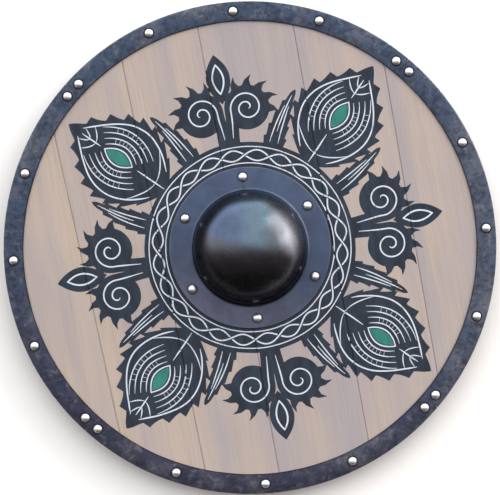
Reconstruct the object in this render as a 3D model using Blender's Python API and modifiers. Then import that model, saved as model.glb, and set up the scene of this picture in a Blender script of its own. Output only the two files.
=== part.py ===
"""Round wooden shield, lying on its back with its front face up.

Six boards stand edge to edge in a steel rim of four channel segments. A domed steel boss covers the
hand hole in the middle. Behind the boards a grip crosses the hole, between two battens.
Metres. +Z is the way the front faces, +Y runs along the boards, and the origin lies on the ground
under the middle of the shield.
"""

import math

import bmesh
import bpy
from mathutils import Matrix, Vector

# Fits
FIT_GAP = 0.0003
EDGE_CLEARANCE = 0.0010
HOLE_CLEARANCE = 0.0003

# Boards
SHIELD_RADIUS = 0.305
BOARD_THICKNESS = 0.012
SEAM_GAP = 0.0008
# Where each seam crosses the middle line, as a share of the boards' radius, and how far it leans left
SEAM_SHARES = (-0.681, -0.361, -0.049, 0.334, 0.665)
SEAM_LEAN_DEGREES = (1.6, 0.7, -0.4, -0.5, -1.0)

# Rim
RIM_STEEL = 0.0015
RIM_FRONT_WIDTH = 0.025
RIM_BACK_SETBACK = 0.004
RIM_CORNER = 0.0008
RIM_JOINT_GAP = 0.0008
RIM_JOINT_DEGREES = (39.1, 127.6, 217.2, 308.7)
RIM_RIVETS_BETWEEN_JOINTS = 3
RIM_RIVET_FROM_JOINT = 0.0103

# Boss
BOSS_STEEL = 0.0016
DOME_RADIUS = 0.0705
DOME_HEIGHT = 0.060
DOME_ROOT_FILLET = 0.004
FLANGE_WIDTH = 0.0295
HAND_HOLE_LEDGE = 0.0069
BOSS_RIVETS = 6
BOSS_RIVET_TURN_DEGREES = 25.2
BOSS_RIVET_FROM_EDGE = 0.0123

# Rivets
RIVET_HEAD_RADIUS = 0.0055
RIVET_HEAD_HEIGHT = 0.0036
RIVET_SHOULDER_RADIUS = 0.0040
RIVET_SHOULDER_HEIGHT = 0.0025
RIVET_SHANK_RADIUS = 0.0023
RIVET_TAIL_RADIUS = 0.0042
RIVET_TAIL_HEIGHT = 0.0012

# Battens and grip
BAR_THICKNESS = 0.018
BAR_EDGE = 0.0015
BATTEN_WIDTH = 0.036
BATTEN_FROM_FLANGE = 0.002
BATTEN_FROM_RIM = 0.012
GRIP_WIDTH = 0.042
GRIP_TIP_WIDTH = 0.028
GRIP_FROM_RIM = 0.034
GRIP_HAND_WIDTH = 0.031
GRIP_HAND_THICKNESS = 0.024
GRIP_HAND_ROUNDING = 0.0085
GRIP_HAND_RUN_OUT = 0.028
GRIP_SHOULDER_FROM_HOLE = 0.012

# Screws, from the back through the bars into the boards
SCREW_HEAD_RADIUS = 0.0038
SCREW_HEAD_DEPTH = 0.0024
SCREW_SHANK_RADIUS = 0.0015
SCREW_POINT = 0.003
SCREW_TIP_FROM_FRONT = 0.004

# Facets
MERGE_DISTANCE = 0.00005
ARC_STEP_DEGREES = 6.0
DOME_SIDES = 36
DOME_STEPS = 8
DOME_ROOT_STEPS = 3
RIVET_SIDES = 8
SCREW_SIDES = 6
GRIP_CORNER_STEPS = 2
GRIP_RUN_OUT_STEPS = 4

# Levels above the ground
BOARD_BACK = BAR_THICKNESS + FIT_GAP
BOARD_FRONT = BOARD_BACK + BOARD_THICKNESS
RIM_BACK = BOARD_BACK - FIT_GAP - RIM_STEEL
RIM_FRONT = BOARD_FRONT + FIT_GAP + RIM_STEEL
FLANGE_BACK = BOARD_FRONT + FIT_GAP
FLANGE_FRONT = FLANGE_BACK + BOSS_STEEL
SCREW_TIP = BOARD_FRONT - SCREW_TIP_FROM_FRONT

# Distances from the middle
BOARD_RADIUS = SHIELD_RADIUS - RIM_STEEL - EDGE_CLEARANCE
RIM_RIVET_CIRCLE = SHIELD_RADIUS - RIM_FRONT_WIDTH / 2
RIM_BACK_INSIDE = SHIELD_RADIUS - RIM_FRONT_WIDTH + RIM_BACK_SETBACK
FLANGE_RADIUS = DOME_RADIUS + FLANGE_WIDTH
BOSS_RIVET_CIRCLE = FLANGE_RADIUS - BOSS_RIVET_FROM_EDGE
HAND_HOLE_RADIUS = DOME_RADIUS - BOSS_STEEL - HAND_HOLE_LEDGE
BATTEN_FROM_CENTRE = FLANGE_RADIUS + BATTEN_FROM_FLANGE + BATTEN_WIDTH / 2
BATTEN_HALF_LENGTH = math.sqrt(
    (RIM_BACK_INSIDE - BATTEN_FROM_RIM) ** 2 - (BATTEN_FROM_CENTRE + BATTEN_WIDTH / 2) ** 2
)
GRIP_HALF_LENGTH = RIM_BACK_INSIDE - GRIP_FROM_RIM
GRIP_SHOULDER = HAND_HOLE_RADIUS - GRIP_SHOULDER_FROM_HOLE
GRIP_HAND_HALF_LENGTH = GRIP_SHOULDER - GRIP_HAND_RUN_OUT

# Colours
BOARD_COLOUR = (0.76, 0.70, 0.67)
BACK_TIMBER_COLOUR = (0.52, 0.40, 0.29)
BLACK_STEEL_COLOUR = (0.10, 0.12, 0.15)
BRIGHT_STEEL_COLOUR = (0.72, 0.73, 0.74)


def clear_scene():
    for obj in list(bpy.data.objects):
        bpy.data.objects.remove(obj, do_unlink=True)


def new_collection(name):
    collection = bpy.data.collections.new(name)
    bpy.context.scene.collection.children.link(collection)
    return collection


def new_material(name, colour, roughness, metallic):
    material = bpy.data.materials.new(name)
    material.use_nodes = True
    shader = material.node_tree.nodes["Principled BSDF"]
    shader.inputs["Base Color"].default_value = (*colour, 1.0)
    shader.inputs["Roughness"].default_value = roughness
    shader.inputs["Metallic"].default_value = metallic
    material.diffuse_color = (*colour, 1.0)
    return material


def polar(radius, degrees, z=0.0):
    """A point on a circle round the shield's axis."""
    angle = math.radians(degrees)
    return Vector((radius * math.cos(angle), radius * math.sin(angle), z))


def add_object(name, bm, collection, material=None):
    """An object from a bmesh, with its faces pointing out."""
    bmesh.ops.recalc_face_normals(bm, faces=bm.faces)
    mesh = bpy.data.meshes.new(name)
    bm.to_mesh(mesh)
    bm.free()
    obj = bpy.data.objects.new(name, mesh)
    collection.objects.link(obj)
    if material:
        mesh.materials.append(material)
    return obj


def add_cutter(name, bm, collection):
    cutter = add_object(name, bm, collection)
    cutter.display_type = "WIRE"
    cutter.hide_render = True
    return cutter


def cut(obj, cutter):
    modifier = obj.modifiers.new("Cut " + cutter.name, "BOOLEAN")
    modifier.operation = "DIFFERENCE"
    modifier.object = cutter


def turned(name, profile, sides, collection, material):
    """A profile of (radius, height) points, listed from the top down, turned round Z."""
    mesh = bpy.data.meshes.new(name)
    points = [(radius, 0.0, z) for radius, z in profile]
    mesh.from_pydata(points, [(i, i + 1) for i in range(len(points) - 1)], [])
    mesh.materials.append(material)
    obj = bpy.data.objects.new(name, mesh)
    collection.objects.link(obj)
    screw = obj.modifiers.new("Turn", "SCREW")
    screw.steps = sides
    screw.render_steps = sides
    screw.use_merge_vertices = True
    screw.merge_threshold = MERGE_DISTANCE
    screw.use_smooth_shade = False
    return obj


def add_cylinder(bm, radius, low, high, place, sides):
    """A cylinder in a bmesh, from z = low to z = high at the given place."""
    bmesh.ops.create_cone(
        bm,
        cap_ends=True,
        segments=sides,
        radius1=radius,
        radius2=radius,
        depth=high - low,
        matrix=Matrix.Translation((place.x, place.y, (low + high) / 2)),
    )


def seam_lines():
    """A point on each seam's middle line, and the direction across it."""
    lines = []
    for share, lean in zip(SEAM_SHARES, SEAM_LEAN_DEGREES):
        across = polar(1.0, lean)
        lines.append((across * share * BOARD_RADIUS, across))
    return lines


def rim_spans():
    """The (start, end) degrees between each rim joint and the next."""
    starts = RIM_JOINT_DEGREES
    ends = (*RIM_JOINT_DEGREES[1:], RIM_JOINT_DEGREES[0] + 360.0)
    return list(zip(starts, ends))


def rim_rivet_degrees():
    """Where the rim rivets stand: evenly from the one beside each joint to the one beside the next."""
    end_step = math.degrees(RIM_RIVET_FROM_JOINT / RIM_RIVET_CIRCLE)
    found = []
    for start, end in rim_spans():
        first, last = start + end_step, end - end_step
        step = (last - first) / (RIM_RIVETS_BETWEEN_JOINTS + 1)
        found += [first + step * i for i in range(RIM_RIVETS_BETWEEN_JOINTS + 2)]
    return found


def rim_rivet_places():
    return [polar(RIM_RIVET_CIRCLE, degrees) for degrees in rim_rivet_degrees()]


def boss_rivet_places():
    step = 360.0 / BOSS_RIVETS
    return [polar(BOSS_RIVET_CIRCLE, BOSS_RIVET_TURN_DEGREES + step * i) for i in range(BOSS_RIVETS)]


def board_spans(y, half_length):
    """The (left, right) ends of each board along a bar that crosses them all at this y."""
    ends = [-half_length]
    for point, across in seam_lines():
        ends.append((point.dot(across) - y * across.y) / across.x)
    ends.append(half_length)
    return list(zip(ends, ends[1:]))


def batten_screw_places(y):
    """One screw in the middle of each board."""
    return [Vector(((a + b) / 2, y, 0.0)) for a, b in board_spans(y, BATTEN_HALF_LENGTH)]


def grip_screw_places():
    """One screw in the middle of what the grip covers of each board, beside the hand hole."""
    spans = []
    for a, b in board_spans(0.0, GRIP_HALF_LENGTH):
        if a < -HAND_HOLE_RADIUS:
            spans.append((a, min(b, -HAND_HOLE_RADIUS)))
        if b > HAND_HOLE_RADIUS:
            spans.append((max(a, HAND_HOLE_RADIUS), b))
    return [Vector(((a + b) / 2, 0.0, 0.0)) for a, b in spans]


def make_rivet_hole_cutter(collection):
    bm = bmesh.new()
    for place in rim_rivet_places() + boss_rivet_places():
        low = RIM_BACK - BOARD_THICKNESS / 2
        high = FLANGE_FRONT + BOARD_THICKNESS / 2
        add_cylinder(bm, RIVET_SHANK_RADIUS + HOLE_CLEARANCE, low, high, place, RIVET_SIDES)
    return add_cutter("rivet_holes", bm, collection)


def profile_edges(bm, profile, place):
    """The edges of a (radius, height) profile, standing at a place."""
    verts = [bm.verts.new((place.x + radius, place.y, z)) for radius, z in profile]
    return [bm.edges.new(pair) for pair in zip(verts, verts[1:])]


def make_screw_hole_cutter(collection):
    """Countersunk holes: a shank hole, and a cone that opens past the bar's back face."""
    bm = bmesh.new()
    places = grip_screw_places()
    for side in (-1, 1):
        places += batten_screw_places(side * BATTEN_FROM_CENTRE)
    shank = SCREW_SHANK_RADIUS + HOLE_CLEARANCE
    profile = [
        (0.0, SCREW_TIP + HOLE_CLEARANCE),
        (shank, SCREW_TIP - SCREW_POINT + HOLE_CLEARANCE),
        (shank, FIT_GAP + SCREW_HEAD_DEPTH + HOLE_CLEARANCE),
        (SCREW_HEAD_RADIUS + HOLE_CLEARANCE, FIT_GAP + HOLE_CLEARANCE),
        (SCREW_HEAD_RADIUS + HOLE_CLEARANCE, -BAR_EDGE),
        (0.0, -BAR_EDGE),
    ]
    for place in places:
        edges = profile_edges(bm, profile, place)
        bmesh.ops.spin(
            bm, geom=edges, cent=place, axis=(0, 0, 1), angle=math.tau, steps=SCREW_SIDES, use_merge=True
        )
    bmesh.ops.remove_doubles(bm, verts=bm.verts, dist=MERGE_DISTANCE)
    return add_cutter("screw_holes", bm, collection)


def make_hand_hole_cutter(collection):
    bm = bmesh.new()
    low = BOARD_BACK - BOARD_THICKNESS / 2
    high = BOARD_FRONT + BOARD_THICKNESS / 2
    sides = int(360 / ARC_STEP_DEGREES / 2)
    add_cylinder(bm, HAND_HOLE_RADIUS, low, high, Vector((0, 0, 0)), sides)
    return add_cutter("hand_hole", bm, collection)


def keep_side(bm, point, normal):
    """Cuts a bmesh by a plane, keeps what lies behind the plane's normal and closes the cut."""
    geometry = bm.verts[:] + bm.edges[:] + bm.faces[:]
    found = bmesh.ops.bisect_plane(bm, geom=geometry, plane_co=point, plane_no=normal, clear_outer=True)
    rim = [item for item in found["geom_cut"] if isinstance(item, bmesh.types.BMEdge)]
    bmesh.ops.contextual_create(bm, geom=rim)


def make_board(number, collection, material):
    """One board: a slice of the round between its two seams."""
    bm = bmesh.new()
    sides = int(360 / ARC_STEP_DEGREES)
    add_cylinder(bm, BOARD_RADIUS, BOARD_BACK, BOARD_FRONT, Vector((0, 0, 0)), sides)
    lines = seam_lines()
    if number > 0:
        point, across = lines[number - 1]
        keep_side(bm, point + across * SEAM_GAP / 2, -across)
    if number < len(lines):
        point, across = lines[number]
        keep_side(bm, point - across * SEAM_GAP / 2, across)
    return add_object(f"board_{number + 1}", bm, collection, material)


def make_rim_segment(number, span, collection, material):
    """A quarter of the rim: a U-shaped channel bent round the boards' edge."""
    start, end = span
    half_gap = math.degrees(RIM_JOINT_GAP / 2 / SHIELD_RADIUS)
    start, end = start + half_gap, end - half_gap
    outer = SHIELD_RADIUS
    inner = outer - RIM_STEEL
    profile = [
        (RIM_BACK_INSIDE, RIM_BACK),
        (outer - RIM_CORNER, RIM_BACK),
        (outer, RIM_BACK + RIM_CORNER),
        (outer, RIM_FRONT - RIM_CORNER),
        (outer - RIM_CORNER, RIM_FRONT),
        (outer - RIM_FRONT_WIDTH, RIM_FRONT),
        (outer - RIM_FRONT_WIDTH, RIM_FRONT - RIM_STEEL),
        (inner, RIM_FRONT - RIM_STEEL),
        (inner, RIM_BACK + RIM_STEEL),
        (RIM_BACK_INSIDE, RIM_BACK + RIM_STEEL),
    ]
    bm = bmesh.new()
    section = bm.faces.new([bm.verts.new(polar(radius, start, z)) for radius, z in profile])
    bmesh.ops.spin(
        bm,
        geom=[section, *section.edges, *section.verts],
        cent=(0, 0, 0),
        axis=(0, 0, 1),
        angle=math.radians(end - start),
        steps=round((end - start) / ARC_STEP_DEGREES),
    )
    return add_object(f"rim_segment_{number + 1}", bm, collection, material)


def boss_profile():
    """The boss's outer line, from the top of the dome to the flange's edge."""
    root_centre = DOME_RADIUS + DOME_ROOT_FILLET
    root_height = FLANGE_FRONT + DOME_ROOT_FILLET
    rise = DOME_HEIGHT - DOME_ROOT_FILLET
    dome = []
    for i in range(DOME_STEPS + 1):
        angle = math.pi / 2 * i / DOME_STEPS
        dome.append((DOME_RADIUS * math.sin(angle), root_height + rise * math.cos(angle)))
    root = []
    for i in range(1, DOME_ROOT_STEPS + 1):
        angle = math.pi / 2 * i / DOME_ROOT_STEPS
        radius = root_centre - DOME_ROOT_FILLET * math.cos(angle)
        root.append((radius, root_height - DOME_ROOT_FILLET * math.sin(angle)))
    return dome + root + [(FLANGE_RADIUS, FLANGE_FRONT)]


def make_boss(collection, material):
    boss = turned("boss", boss_profile(), DOME_SIDES, collection, material)
    wall = boss.modifiers.new("Wall", "SOLIDIFY")
    wall.thickness = BOSS_STEEL
    wall.offset = -1.0
    wall.use_even_offset = True
    return boss


def rivet_profile(grip_low, grip_high):
    """A round-headed rivet, closed over what it holds from grip_low to grip_high."""
    low = grip_low - FIT_GAP
    high = grip_high + FIT_GAP
    return [
        (0.0, high + RIVET_HEAD_HEIGHT),
        (RIVET_SHOULDER_RADIUS, high + RIVET_SHOULDER_HEIGHT),
        (RIVET_HEAD_RADIUS, high),
        (RIVET_SHANK_RADIUS, high),
        (RIVET_SHANK_RADIUS, low),
        (RIVET_TAIL_RADIUS, low),
        (0.0, low - RIVET_TAIL_HEIGHT),
    ]


def make_rivets(name, places, grip_low, grip_high, collection, material):
    profile = rivet_profile(grip_low, grip_high)
    for number, place in enumerate(places, 1):
        rivet = turned(f"{name}_{number}", profile, RIVET_SIDES, collection, material)
        rivet.location = place


def make_screws(name, places, collection, material):
    """Countersunk wood screws, with their heads just under the bar's back face."""
    profile = [
        (0.0, SCREW_TIP),
        (SCREW_SHANK_RADIUS, SCREW_TIP - SCREW_POINT),
        (SCREW_SHANK_RADIUS, FIT_GAP + SCREW_HEAD_DEPTH),
        (SCREW_HEAD_RADIUS, FIT_GAP),
        (0.0, FIT_GAP),
    ]
    for number, place in enumerate(places, 1):
        screw = turned(f"{name}_{number}", profile, SCREW_SIDES, collection, material)
        screw.location = place


def make_batten(name, y, collection, material):
    bm = bmesh.new()
    size = Matrix.Diagonal((2 * BATTEN_HALF_LENGTH, BATTEN_WIDTH, BAR_THICKNESS, 1.0))
    bmesh.ops.create_cube(bm, size=1.0, matrix=Matrix.Translation((0, y, BAR_THICKNESS / 2)) @ size)
    batten = add_object(name, bm, collection, material)
    edge = batten.modifiers.new("Edges", "BEVEL")
    edge.width = BAR_EDGE
    edge.segments = 1
    edge.limit_method = "ANGLE"
    return batten


def ease(share):
    """0 to 1, with a level start and end."""
    share = min(max(share, 0.0), 1.0)
    return share * share * (3 - 2 * share)


def grip_section(x):
    """(width, thickness, corner radius) of the grip at x: slim tips, wide shoulders, round in the hand."""
    from_hand = ease((abs(x) - GRIP_HAND_HALF_LENGTH) / GRIP_HAND_RUN_OUT)
    from_shoulder = max(abs(x) - GRIP_SHOULDER, 0.0) / (GRIP_HALF_LENGTH - GRIP_SHOULDER)
    width = GRIP_HAND_WIDTH + (GRIP_WIDTH - GRIP_HAND_WIDTH) * from_hand
    width += (GRIP_TIP_WIDTH - GRIP_WIDTH) * from_shoulder
    thickness = GRIP_HAND_THICKNESS + (BAR_THICKNESS - GRIP_HAND_THICKNESS) * from_hand
    corner = GRIP_HAND_ROUNDING + (BAR_EDGE - GRIP_HAND_ROUNDING) * from_hand
    return width, thickness, corner


def grip_points(x):
    """The grip's cross-section at x: a rectangle on the ground with its four corners rounded."""
    width, thickness, corner = grip_section(x)
    half, low, high = width / 2 - corner, corner, thickness - corner
    centres = ((half, high), (-half, high), (-half, low), (half, low))
    points = []
    for quarter, (y, z) in enumerate(centres):
        for step in range(GRIP_CORNER_STEPS + 1):
            angle = math.pi / 2 * (quarter + step / GRIP_CORNER_STEPS)
            points.append(Vector((x, y + corner * math.cos(angle), z + corner * math.sin(angle))))
    return points


def grip_stations():
    """Where the grip's sections stand, close together beside the hand."""
    step = GRIP_HAND_RUN_OUT / GRIP_RUN_OUT_STEPS
    side = [GRIP_HAND_HALF_LENGTH + step * i for i in range(GRIP_RUN_OUT_STEPS + 1)]
    side.append(GRIP_HALF_LENGTH)
    return [-x for x in reversed(side)] + side


def make_grip(collection, material):
    """The grip, lofted through its sections from one tip to the other."""
    bm = bmesh.new()
    stations = grip_stations()
    ring = [bm.verts.new(point) for point in grip_points(stations[0])]
    bm.faces.new(ring)
    edges = [bm.edges.get((a, b)) for a, b in zip(ring, ring[1:] + ring[:1])]
    for x in stations[1:]:
        grown = bmesh.ops.extrude_edge_only(bm, edges=edges)["geom"]
        edges = [item for item in grown if isinstance(item, bmesh.types.BMEdge) and item.is_boundary]
        made = [item for item in grown if isinstance(item, bmesh.types.BMVert)]
        for vert, point in zip(made, grip_points(x)):
            vert.co = point
    bmesh.ops.holes_fill(bm, edges=edges)
    return add_object("grip", bm, collection, material)


def main():
    clear_scene()
    parts = new_collection("wooden_shield")
    cutters = new_collection("cutters")
    cutters.hide_render = True

    painted_board = new_material("limewashed board", BOARD_COLOUR, 0.7, 0.0)
    back_timber = new_material("oiled back timber", BACK_TIMBER_COLOUR, 0.65, 0.0)
    black_steel = new_material("blackened steel", BLACK_STEEL_COLOUR, 0.45, 1.0)
    bright_steel = new_material("bright steel", BRIGHT_STEEL_COLOUR, 0.3, 1.0)

    rivet_holes = make_rivet_hole_cutter(cutters)
    screw_holes = make_screw_hole_cutter(cutters)
    hand_hole = make_hand_hole_cutter(cutters)

    for number in range(len(SEAM_SHARES) + 1):
        board = make_board(number, parts, painted_board)
        for cutter in (hand_hole, rivet_holes, screw_holes):
            cut(board, cutter)

    for number, span in enumerate(rim_spans()):
        cut(make_rim_segment(number, span, parts, black_steel), rivet_holes)
    cut(make_boss(parts, black_steel), rivet_holes)
    make_rivets("rim_rivet", rim_rivet_places(), RIM_BACK, RIM_FRONT, parts, bright_steel)
    make_rivets("boss_rivet", boss_rivet_places(), BOARD_BACK, FLANGE_FRONT, parts, bright_steel)

    cut(make_grip(parts, back_timber), screw_holes)
    make_screws("grip_screw", grip_screw_places(), parts, bright_steel)
    for name, side in (("upper", 1), ("lower", -1)):
        y = side * BATTEN_FROM_CENTRE
        cut(make_batten(f"{name}_batten", y, parts, back_timber), screw_holes)
        make_screws(f"{name}_batten_screw", batten_screw_places(y), parts, bright_steel)


main()
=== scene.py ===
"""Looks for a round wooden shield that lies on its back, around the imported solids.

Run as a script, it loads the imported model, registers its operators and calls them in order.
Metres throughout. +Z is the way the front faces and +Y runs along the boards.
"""

import math
from functools import partial

import bmesh
import bpy
from bpy.props import FloatProperty, FloatVectorProperty, IntProperty, PointerProperty
from mathutils import Matrix, Vector, noise
from mathutils.geometry import delaunay_2d_cdt


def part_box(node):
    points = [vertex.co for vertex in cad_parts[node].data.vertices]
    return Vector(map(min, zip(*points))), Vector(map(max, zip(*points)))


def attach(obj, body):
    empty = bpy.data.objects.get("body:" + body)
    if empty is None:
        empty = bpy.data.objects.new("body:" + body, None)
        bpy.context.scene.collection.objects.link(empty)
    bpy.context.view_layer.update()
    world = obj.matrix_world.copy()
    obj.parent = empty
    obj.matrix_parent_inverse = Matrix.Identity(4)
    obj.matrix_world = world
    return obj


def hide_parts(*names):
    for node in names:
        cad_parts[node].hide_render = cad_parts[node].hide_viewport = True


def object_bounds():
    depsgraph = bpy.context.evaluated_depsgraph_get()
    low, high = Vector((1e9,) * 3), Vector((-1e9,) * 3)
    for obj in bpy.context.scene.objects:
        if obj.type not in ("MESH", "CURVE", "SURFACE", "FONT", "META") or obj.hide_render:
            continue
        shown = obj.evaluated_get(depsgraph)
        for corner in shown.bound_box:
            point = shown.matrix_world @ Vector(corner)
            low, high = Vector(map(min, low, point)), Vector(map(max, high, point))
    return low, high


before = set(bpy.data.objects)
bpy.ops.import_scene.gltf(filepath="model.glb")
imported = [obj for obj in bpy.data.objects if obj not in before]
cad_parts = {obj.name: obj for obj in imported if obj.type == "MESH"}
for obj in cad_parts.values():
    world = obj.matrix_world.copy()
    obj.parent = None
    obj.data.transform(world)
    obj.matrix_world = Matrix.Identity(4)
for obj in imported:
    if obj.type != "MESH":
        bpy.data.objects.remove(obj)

bl_info = {
    "name": "Round Wooden Shield",
    "version": (1, 0, 0),
    "blender": (4, 5, 0),
    "location": "3D View > Sidebar > Shield",
    "description": "Builds the boards, steel, rivets, grip and studio of a round wooden shield",
    "category": "Add Mesh",
}

CAD_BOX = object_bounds()
BODY = "root"
BOARDS = 6
SEGMENTS = 4
RIVETS_A_SEGMENT = 5
BOSS_RIVETS = 6
SCREWS_A_BAR = 6

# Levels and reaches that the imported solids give. The dressed steel stays just inside them
BOARD_BACK, BOARD_FRONT = (corner.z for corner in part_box("board_3"))
RIM_BACK, RIM_FRONT = (corner.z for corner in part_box("rim_segment_1"))
FLANGE_BACK, DOME_TOP = (corner.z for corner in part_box("boss"))
FLANGE_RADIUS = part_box("boss")[1].x - 0.0002
BAR_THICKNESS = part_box("upper_batten")[1].z
OUTER_RADIUS = min(abs(value) for corner in CAD_BOX for value in corner[:2]) - 0.0003

# Boards: where each seam crosses the middle line as a share of the boards' radius, and its lean
SEAM_SHARES = (-0.681, -0.361, -0.049, 0.334, 0.665)
SEAM_LEAN_DEGREES = (1.6, 0.7, -0.4, -0.5, -1.0)
BOARD_WARMTH = (0.30, 0.20, 0.0, -0.30, -0.15, -0.25)
RIM_JOINT_DEGREES = (39.1, 127.6, 217.2, 308.7)
FORGING_LINE_DEGREES = 85.5
PAINTER_SEED = 5

# What a face of a board shows: limewash alone, one of three paints over it, or bare wood
LIMEWASH, SLATE, CHALK, GREEN, BARE = range(5)

# The picture is turned from the boards' direction, and is this wide at the shield's front
PICTURE_TURN_DEGREES = 10.8
PICTURE_WIDTH = 0.6173
CAMERA_DISTANCE = 4.0
SENSOR_WIDTH = 36.0

# Kinds of node by short names. A pair is a type of node and the setting that it has here
MATH = "ShaderNodeMath"
VECTOR = "ShaderNodeVectorMath"
RANGE = "ShaderNodeMapRange"
NOISE = "ShaderNodeTexNoise"
ATTRIBUTE = "ShaderNodeAttribute"
JOINED = "ShaderNodeCombineXYZ"
TIMES = (MATH, {"operation": "MULTIPLY"})
PLUS = (MATH, {"operation": "ADD"})
MINUS = (MATH, {"operation": "SUBTRACT"})
DOT = (VECTOR, {"operation": "DOT_PRODUCT"})
MOVED = (VECTOR, {"operation": "ADD"})
SCALED = (VECTOR, {"operation": "SCALE"})
LENGTH = (VECTOR, {"operation": "LENGTH"})
EASE = (RANGE, {"interpolation_type": "SMOOTHSTEP"})
BLEND = ("ShaderNodeMix", {"data_type": "RGBA"})


def rgba(hex_colour):
    """The linear colour of an sRGB hex value, with full alpha."""
    channels = [int(hex_colour[i : i + 2], 16) / 255 for i in (0, 2, 4)]
    return (*(c / 12.92 if c <= 0.04045 else ((c + 0.055) / 1.055) ** 2.4 for c in channels), 1.0)


def tone(hex_colour, about):
    default = rgba(hex_colour)
    return FloatVectorProperty(description=about, subtype="COLOR", size=4, min=0, max=1, default=default)


def size(metres, about):
    return FloatProperty(description=about, default=metres, min=0.0, precision=5, unit="LENGTH")


class ShieldSizes(bpy.types.PropertyGroup):
    """Sizes of the dressed pieces"""

    seam_gap: size(0.00012, "Gap at the bottom of the groove between two boards")
    board_edge: size(0.0011, "Chamfer along the boards' edges")
    board_radius: size(0.3025, "Radius of the round that the boards make")
    hand_hole: size(0.062, "Radius of the hole behind the boss")
    rim_width: size(0.0245, "Width of the rim on the front")
    rim_back_width: size(0.0204, "Width of the rim on the back")
    rim_steel: size(0.0015, "Thickness of the rim's steel")
    rim_fold: size(0.0012, "Rounding where the strip folds round the boards")
    rim_joint: size(0.0005, "Gap between two rim segments")
    rim_waver: size(0.0009, "How far the rim's hand-cut inner edge wanders")
    cut_edge: size(0.0004, "Softening of sheared steel edges")
    dome_radius: size(0.0705, "Outside radius of the dome at its root")
    dome_root: size(0.004, "Fillet between the dome and its flange")
    boss_steel: size(0.0016, "Thickness of the boss's steel")
    boss_hollows: size(0.0006, "Depth of the hammered hollows in the dome")
    rivet_head: size(0.0055, "Radius of a rivet's head")
    rivet_rise: size(0.0036, "Height of a rivet's head")
    rivet_tail: size(0.0042, "Radius of a rivet's hammered tail")
    rivet_tail_rise: size(0.0012, "Height of a rivet's hammered tail")
    bar_edge: size(0.0022, "Rounding of the battens' edges")
    grip_hand_width: size(0.031, "Width of the grip in the hand")
    grip_hand_depth: size(0.024, "Thickness of the grip in the hand")
    grip_hand_corner: size(0.0085, "Rounding of the grip in the hand")
    grip_width: size(0.042, "Width of the grip at the hand hole's edge")
    grip_tip_width: size(0.028, "Width of the grip at its tips")
    grip_shoulder: size(0.050, "How far the grip's shoulders are from the middle")
    grip_run_out: size(0.028, "Length over which the grip swells")
    screw_head: size(0.0038, "Radius of a screw's head")
    screw_sink: size(0.0024, "Depth of a screw's countersunk head")
    screw_slot: size(0.0009, "Width of a screw's slot")


class ShieldColours(bpy.types.PropertyGroup):
    """Colours of the finishes"""

    limewash_warm: tone("b0a297", "Limewash over the warmer wood")
    limewash_cool: tone("9c959a", "Limewash over the greyer wood")
    limewash_grain: tone("8b7b74", "Wood that shows in the limewash's grain")
    bare_wood: tone("b3946f", "Wood on the boards' back and edges")
    bare_grain: tone("86684a", "Grain of the bare wood")
    slate_paint: tone("273342", "Dark paint of the design")
    slate_thick: tone("1d2633", "Dark paint where the brush left more")
    chalk_paint: tone("c6cdd9", "Pale lines of the design")
    green_paint: tone("357d75", "Green hearts of the design")
    green_thick: tone("286a62", "Green where the brush left more")
    rim_black: tone("424e62", "Forge-blackened steel of the rim")
    rim_lower_side: tone("3c3e51", "Rim on its browner side")
    boss_black: tone("4a566e", "Blackened steel of the boss")
    flange_lower_side: tone("656a80", "Flange on its browner side")
    # Painted dark reflection of the dim room on the dome's lower half
    dome_dark_reflection: tone("4f525a", "Lower half of the dome, brown-black")
    # The next two are painted reflection tints on the dome
    dome_reflection_green: tone("586a74", "Green tinge across the dome's middle")
    dome_reflection_grey: tone("575b63", "Greyer steel towards the dome's right")
    soot: tone("2c2e36", "Soot in the blackened steel")
    # This colour also paints shade: along the rim's inner edge, round the rivets, and where the dome stands
    # steep
    pits: tone("25242a", "Small pits, and soot where no cloth reaches")
    # This colour is also painted sheen and highlight towards the picture's right on the rim and dome
    worn_steel_and_sheen: tone("7a7982", "Steel where the black is rubbed off")
    bright_steel: tone("dcdce0", "Polished rivets")
    screw_steel: tone("929296", "Plain steel of the screws")
    rust: tone("5a4636", "Brown stain on the screws")
    oiled_ash: tone("a87f54", "Grip and battens")
    ash_grain: tone("74512f", "Open grain of the grip and battens")
    floor: tone("f6f6f6", "Studio floor")


class ShieldDesign(bpy.types.PropertyGroup):
    """The painted design: a plaited ring with leaves, flames and pairs of scrolls"""

    plait_waves: IntProperty(description="Waves of the plait in a turn", default=12, min=3)
    repeats: IntProperty(description="How many leaves and scroll pairs", default=4, min=2)
    ring_radius: size(0.1305, "Outside radius of the painted ring")
    plait_radius: size(0.1143, "Middle radius of the plait")
    plait_swing: size(0.0066, "How far the plait swings to each side")
    leaf_length: size(0.146, "Length of a leaf")
    leaf_half_width: size(0.052, "Half of a leaf's width")
    leaf_tooth: size(0.0095, "Depth of a tooth on a leaf's edge")
    flame_length: size(0.080, "Length of a flame beside a leaf")
    flame_half_width: size(0.0122, "Half of a flame's width")
    line: size(0.0018, "Width of a painted line")
    stem: size(0.0155, "Width of a scroll's stem at its root")
    scroll_radius: size(0.0180, "Outside radius of a scroll")
    hand_waver: size(0.0005, "How far the painter's hand wanders")


# Small tools
def settings():
    scene = bpy.context.scene
    return scene.shield_sizes, scene.shield_colours, scene.shield_design


def polar(radius, degrees, z=0.0):
    angle = math.radians(degrees)
    return Vector((radius * math.cos(angle), radius * math.sin(angle), z))


def direction(degrees):
    """A level direction as a vector socket's value. 0 is the picture's right and 90 its top."""
    return tuple(polar(1.0, degrees - PICTURE_TURN_DEGREES))


def circle(radius, step):
    return [polar(radius, step * i)[:2] for i in range(360 // step)]


def ease(share):
    """0 to 1, with a level start and end."""
    share = min(max(share, 0.0), 1.0)
    return share * share * (3 - 2 * share)


def numbered(group, count):
    return [f"{group}_{number}" for number in range(1, count + 1)]


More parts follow.
